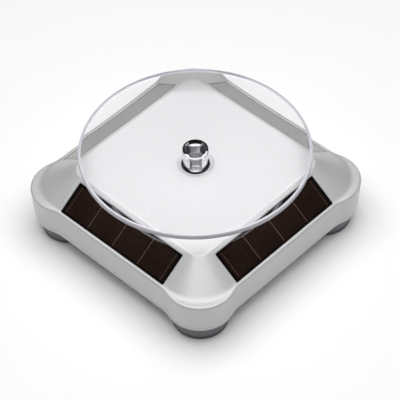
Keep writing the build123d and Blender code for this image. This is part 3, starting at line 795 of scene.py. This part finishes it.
def film_tree():
    """Thin plates with softened corners, side by side in a row."""
    tree, given, result = node_tree("film_fields", [
        ("Length", "NodeSocketFloat", 0.0), ("Width", "NodeSocketFloat", 0.0),
        ("Fields", "NodeSocketInt", 4), ("Line", "NodeSocketFloat", 0.0),
        ("Lift", "NodeSocketFloat", 0.0), ("Finish", "NodeSocketMaterial", None)])
    pitch = add_node(tree, "ShaderNodeMath", None, {0: (given, "Length"), 1: (given, "Fields")},
                     operation="DIVIDE")
    side = add_node(tree, "ShaderNodeMath", None, {0: (pitch, "Value"), 1: (given, "Line")},
                    operation="SUBTRACT")
    plate = add_node(tree, "GeometryNodeCurvePrimitiveQuadrilateral", None,
                     {"Width": (side, "Value"), "Height": (given, "Width")})
    soft = add_node(tree, "GeometryNodeFilletCurve", {"Radius": FILM_CORNER * MM, "Count": 3},
                    {"Curve": (plate, "Curve")}, mode="POLY")
    filled = add_node(tree, "GeometryNodeFillCurve", None, {"Curve": (soft, "Curve")}, mode="NGONS")
    thick = add_node(tree, "GeometryNodeExtrudeMesh", None,
                     {"Mesh": (filled, "Mesh"), "Offset Scale": (given, "Lift")})
    base = add_node(tree, "GeometryNodeFlipFaces", None, {"Mesh": (filled, "Mesh")})
    closed = add_node(tree, "GeometryNodeJoinGeometry")
    tree.links.new(thick.outputs["Mesh"], closed.inputs["Geometry"])
    tree.links.new(base.outputs["Mesh"], closed.inputs["Geometry"])
    last = add_node(tree, "ShaderNodeMath", {1: 1.0}, {0: (given, "Fields")}, operation="SUBTRACT")
    reach = add_node(tree, "ShaderNodeMath", None, {0: (last, "Value"), 1: (pitch, "Value")},
                     operation="MULTIPLY")
    half = add_node(tree, "ShaderNodeMath", {1: -0.5}, {0: (reach, "Value")}, operation="MULTIPLY")
    start = add_node(tree, "ShaderNodeCombineXYZ", None, {"X": (half, "Value")})
    step = add_node(tree, "ShaderNodeCombineXYZ", None, {"X": (pitch, "Value")})
    row = add_node(tree, "GeometryNodeMeshLine", None,
                   {"Count": (given, "Fields"), "Start Location": (start, "Vector"),
                    "Offset": (step, "Vector")}, mode="OFFSET")
    return copied(tree, given, result, (row, "Mesh"), (closed, "Geometry"))


films = film_tree()
print("the film tree has", len(films.nodes), "nodes")

# %% [markdown]
# The layers are sunk a little into the plate's top and stand a few hundredths of a millimetre proud of it:
# the electrode lines most, then the fields, then the backing. The border is the bare plate round them, its
# black a painted shadow of the pocket's wall.

# %% Films on the four sides
CELL_GAP = 0.3
CELL_LENGTH, CELL_WIDTH = WINDOW_LENGTH - CELL_GAP, WINDOW_WIDTH - CELL_GAP
CELL_TOP = -0.4
FIELDS, BORDER, SCRIBED = 4, 0.75, 0.28
ELECTRODE_IN, ELECTRODE_WIDTH = 2.3, 0.14
FILM_THICK, BACKING_THICK = 0.10, 0.08
FILM_SUNK, ELECTRODE_SUNK = 0.05, 0.03
BACKING_SHORT = 1.0


def on_four_sides(name, layers, material):
    """Flat layers laid in every window: (mesh, shift along the window, height over the glass), joined."""
    shape = bmesh.new()
    for turn in SIDES.values():
        for layer, shift, lift in layers:
            copy = layer.copy()
            copy.transform(Matrix.Translation((shift * MM, 0, (CELL_TOP + lift) * MM)))
            matrix = window_matrix(turn)
            matrix.translation = matrix.translation * MM
            copy.transform(matrix)
            shape.from_mesh(copy)
            bpy.data.meshes.remove(copy)
    mesh = bpy.data.meshes.new(name)
    shape.to_mesh(mesh)
    shape.free()
    return new_piece(name, outward(mesh), "case", material)


empty_mesh = bpy.data.meshes.new("empty")
active_length, active_width = CELL_LENGTH - 2 * BORDER, CELL_WIDTH - 2 * BORDER
fields = grown("fields", films, empty_mesh, Length=active_length * MM, Width=active_width * MM, Fields=FIELDS,
               Line=SCRIBED * MM, Lift=FILM_THICK * MM, Finish=cell_film)
backing = grown("backing", films, empty_mesh, Length=(active_length - BACKING_SHORT) * MM,
                Width=active_width * MM, Fields=1, Line=0.0, Lift=BACKING_THICK * MM, Finish=cell_line)
electrode = grown("electrode", films, empty_mesh, Length=ELECTRODE_WIDTH * MM,
                  Width=active_width * MM, Fields=1, Line=0.0, Lift=FILM_THICK * MM, Finish=cell_line)
electrode_at = CELL_LENGTH / 2 - ELECTRODE_IN
film_piece = on_four_sides("silicon_films", [(fields, 0, -FILM_SUNK)], cell_film)
line_layers = [(backing, 0, -FILM_SUNK), (electrode, electrode_at, -ELECTRODE_SUNK),
               (electrode, -electrode_at, -ELECTRODE_SUNK)]
line_piece = on_four_sides("scribed_lines", line_layers, cell_line)
print("films", len(film_piece.data.polygons), "faces, lines", len(line_piece.data.polygons), "faces")

# %% [markdown]
# ## Chrome spindle and the cover
# Parts with slots and ribs keep the CAD's own shape, but their edges need a fine bevel to catch the light.
# A copy of each CAD mesh is cleaned of the triangles in its flat faces, and every sharp edge is bevelled.

# %% Soft-edged copies of CAD parts
def softened(node, width_mm, steps=2, sharp=35):
    """A copy of a CAD node's mesh, its flat faces cleaned and its sharp edges bevelled."""
    shape = bmesh.new()
    shape.from_mesh(nodes[node].data)
    bmesh.ops.remove_doubles(shape, verts=shape.verts, dist=1e-6)
    bmesh.ops.dissolve_limit(shape, angle_limit=math.radians(1.0), verts=shape.verts, edges=shape.edges)
    edges = [edge for edge in shape.edges
             if len(edge.link_faces) == 2 and edge.calc_face_angle(0.0) > math.radians(sharp)]
    bmesh.ops.bevel(shape, geom=edges, offset=width_mm * MM, segments=steps, profile=0.5, affect="EDGES",
                    clamp_overlap=True, loop_slide=True)
    bmesh.ops.recalc_face_normals(shape, faces=shape.faces)
    mesh = bpy.data.meshes.new(node + "_soft")
    shape.to_mesh(mesh)
    shape.free()
    return smooth(mesh, 24)


made = {}
for name, node, body, slot, finish, width in (
        ("chrome_spindle", "spindle_hub", "turntable", "chrome", chrome, 0.10),
        ("soft_cover", "bottom_cover", "case", "silver_case", paint, 0.15),
        ("soft_door", "battery_door", "battery_door", "silver_case", paint, 0.15)):
    made[name] = new_piece(name, softened(node, width), body, finish, [node])

# %% [markdown]
# Plating doesn't reach far into a narrow slot, so the spindle's post, ribs and slot stay the dull grey of
# the cast zinc. Every face nearer to the axis than the cup's wall takes that second finish.

# %% Bare zinc inside the spindle
CUP_INSIDE, BASE_THICKNESS = 4.3, 1.0
hub_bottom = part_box("spindle_hub")[0].z / MM
spindle_mesh = made["chrome_spindle"].data
spindle_mesh.materials.append(cast_zinc)
for face in spindle_mesh.polygons:
    corners = [spindle_mesh.vertices[place].co / MM for place in face.vertices]
    reach = max(math.hypot(corner.x, corner.y) for corner in corners)
    above_base = min(corner.z for corner in corners) > hub_bottom + BASE_THICKNESS
    face.material_index = 1 if reach < CUP_INSIDE and above_base else 0
print("zinc faces:", sum(face.material_index for face in spindle_mesh.polygons))

# %% [markdown]
# ## The parts inside
# The gear train, the motor, the battery and the board keep their CAD meshes. They only need finishes, given
# by the slot that the record names for each.

# %% Finishes for the CAD parts
# The cells' glass plates take the black painted shadow of the pocket's wall.
BY_SLOT = {"silver_case": paint, "solar_cell": cell_painted_shadow, "foot_plastic": foot_plastic,
           "foot_rubber": pad_rubber, "clear_acrylic": acrylic, "chrome": chrome, "steel": steel,
           "white_nylon": nylon, "gearbox_plastic": black_plastic, "brass": brass, "cell_wrap": cell_green,
           "board": board_green, "capacitor_sleeve": capacitor_blue}
for part in frame["record"]["subparts"]:
    node = nodes[part["node"]]
    node.data.materials.clear()
    node.data.materials.append(BY_SLOT[part["material_slot"]])

# %% [markdown]
# ## The studio
# The stand is lit as a shop lights a product on white: a large soft box overhead, two weak ones at the left
# and the right, and a pale room all round. The floor turns almost pure white, so only the soft shadow under
# the case shows on it.

# %% Floor, room and lamps
WALL_FADE = 0.25


def studio_floor(half=6.0):
    """A sheet of white paper, its half width in metres."""
    mesh = bpy.data.meshes.new("floor")
    corners = [(-half, -half, 0), (half, -half, 0), (half, half, 0), (-half, half, 0)]
    mesh.from_pydata(corners, [], [(0, 1, 2, 3)])
    floor = bpy.data.objects.new("floor", mesh)
    bpy.context.scene.collection.objects.link(floor)
    material, tree, shader = new_material("white_paper_sweep", Roughness=0.9)
    shader.inputs["Base Color"].default_value = srgb("fefefe")
    mesh.materials.append(material)


def soft_box(name, place, size, power, aim=(0, 0, 20)):
    """A square area lamp, its place and aim in millimetres."""
    lamp = bpy.data.lights.new(name, "AREA")
    lamp.shape = "SQUARE"
    lamp.size = size * MM
    lamp.energy = power
    holder = bpy.data.objects.new(name, lamp)
    bpy.context.scene.collection.objects.link(holder)
    holder.location = Vector(place) * MM
    holder.rotation_mode = "QUATERNION"
    holder.rotation_quaternion = (Vector(aim) * MM - holder.location).to_track_quat("-Z", "Y")


def room(floor_line, half_way_up, zenith, rear_wall):
    """A room with greys from the floor line to overhead, and a bright wall behind that fades upwards."""
    world = bpy.data.worlds.new("room")
    world.use_nodes = True
    tree = world.node_tree
    place = add_node(tree, "ShaderNodeTexCoord")
    split = add_node(tree, "ShaderNodeSeparateXYZ", links={"Vector": (place, "Generated")})
    ramp = add_node(tree, "ShaderNodeValToRGB", links={"Fac": (split, "Z")})
    stops = ramp.color_ramp.elements
    stops[0].position, stops[0].color = 0.0, (floor_line, floor_line, floor_line, 1.0)
    stops[1].position, stops[1].color = 1.0, (zenith, zenith, zenith, 1.0)
    for position, grey in ((0.30, floor_line * 0.6), (0.55, half_way_up), (0.80, half_way_up)):
        stops.new(position).color = (grey, grey, grey, 1.0)
    rear = Vector((-back.x, -back.y, 0.0)).normalized()
    behind = add_node(tree, "ShaderNodeVectorMath", {1: (rear.x, rear.y, -WALL_FADE)},
                      {0: (place, "Generated")}, operation="DOT_PRODUCT")
    wall = add_node(tree, "ShaderNodeMapRange", {"From Min": 0.2, "From Max": 0.95, "To Max": rear_wall},
                    {"Value": (behind, "Value")}, interpolation_type="SMOOTHSTEP")
    total = add_node(tree, "ShaderNodeMath", None, {0: (ramp, "Color"), 1: (wall, "Result")}, operation="ADD")
    tree.links.new(total.outputs["Value"], tree.nodes["Background"].inputs["Strength"])
    bpy.context.scene.world = world


studio_floor()
room(0.60, 0.08, 0.40, 1.40)
soft_box("overhead_box", (20, -10, 800), 1000, 9.1)
soft_box("left_box", (-430, -430, 190), 260, 0.15, aim=(-40, -40, 15))
soft_box("right_box", (430, 430, 190), 260, 0.08, aim=(40, 40, 15))
bpy.context.scene.view_settings.view_transform = "Standard"
print("studio ready")
